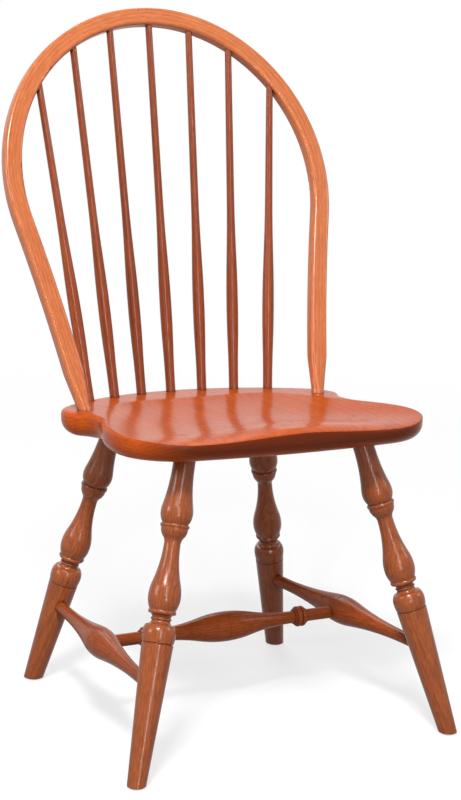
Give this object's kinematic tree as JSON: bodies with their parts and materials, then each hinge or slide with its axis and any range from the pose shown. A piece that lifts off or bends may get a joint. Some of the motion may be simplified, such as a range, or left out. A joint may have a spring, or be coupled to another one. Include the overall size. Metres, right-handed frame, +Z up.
{
  "type": "windsor side chair",
  "caption": "Wooden side chair with a bent hoop back filled with turned spindles, a saddled seat, and splayed turned legs tied by stretchers.",
  "frame": {"origin": "on the floor under the middle of the chair's outer box", "axes": "+Z up; -Y is the way the sitter faces; +X is on the right of someone who looks at the chair's front"},
  "size_m": [0.5386, 0.5728, 1.0082],
  "materials": {
    "seat_wood": "reddish orange stain under glossy lacquer, open pores",
    "bow_wood": "light salmon orange stain under satin lacquer",
    "spindle_wood": "reddish brown stain under satin lacquer",
    "turned_wood": "dark reddish brown stain under glossy lacquer",
    "wedge_wood": "stained end grain",
    "glide_steel": "nickel plated, lightly worn"
  },
  "bodies": {
    "root": {"seat": "seat_wood", "bow": "bow_wood", "bow_wedge_left": "wedge_wood", "bow_wedge_right": "wedge_wood", "spindle_1": "spindle_wood", "spindle_2": "spindle_wood", "spindle_3": "spindle_wood", "spindle_4": "spindle_wood", "spindle_5": "spindle_wood", "spindle_6": "spindle_wood", "spindle_7": "spindle_wood", "leg_front_left": "turned_wood", "leg_front_right": "turned_wood", "leg_rear_left": "turned_wood", "leg_rear_right": "turned_wood", "stretcher_left": "turned_wood", "stretcher_right": "turned_wood", "stretcher_centre": "turned_wood", "glide_front_left": "glide_steel", "glide_front_right": "glide_steel", "glide_rear_left": "glide_steel", "glide_rear_right": "glide_steel"}
  },
  "joints": []
}
